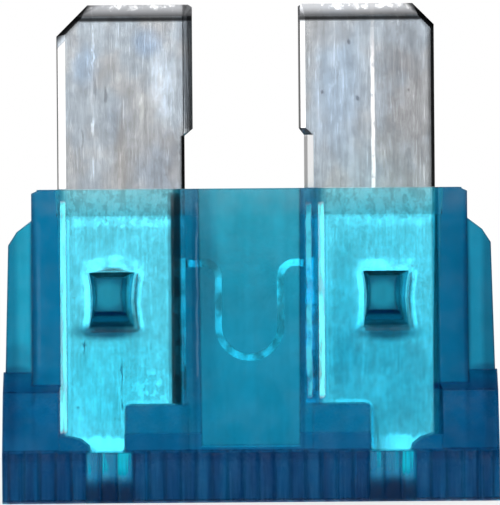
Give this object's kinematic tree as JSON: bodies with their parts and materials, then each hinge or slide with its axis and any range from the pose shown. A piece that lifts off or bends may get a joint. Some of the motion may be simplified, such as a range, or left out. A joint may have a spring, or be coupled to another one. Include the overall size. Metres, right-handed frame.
{
  "type": "automotive blade fuse",
  "caption": "Regular-size automotive blade fuse: a see-through blue housing with a ribbed head holds a stamped element with two flat terminals and a thin looped link.",
  "frame": {"origin": "middle of the end face of the head, which the fuse stands on", "axes": "+Z from the head to the tips of the terminals, +X across the terminals, +Y through the thickness"},
  "size_m": [0.019, 0.0052, 0.0192],
  "materials": {
    "housing_plastic": "moulded see-through blue plastic, slightly worn gloss",
    "element_metal": "plated stamping, brushed along the terminals, fine scratches"
  },
  "bodies": {
    "root": {"housing": "housing_plastic", "fuse_element": "element_metal"}
  },
  "joints": []
}
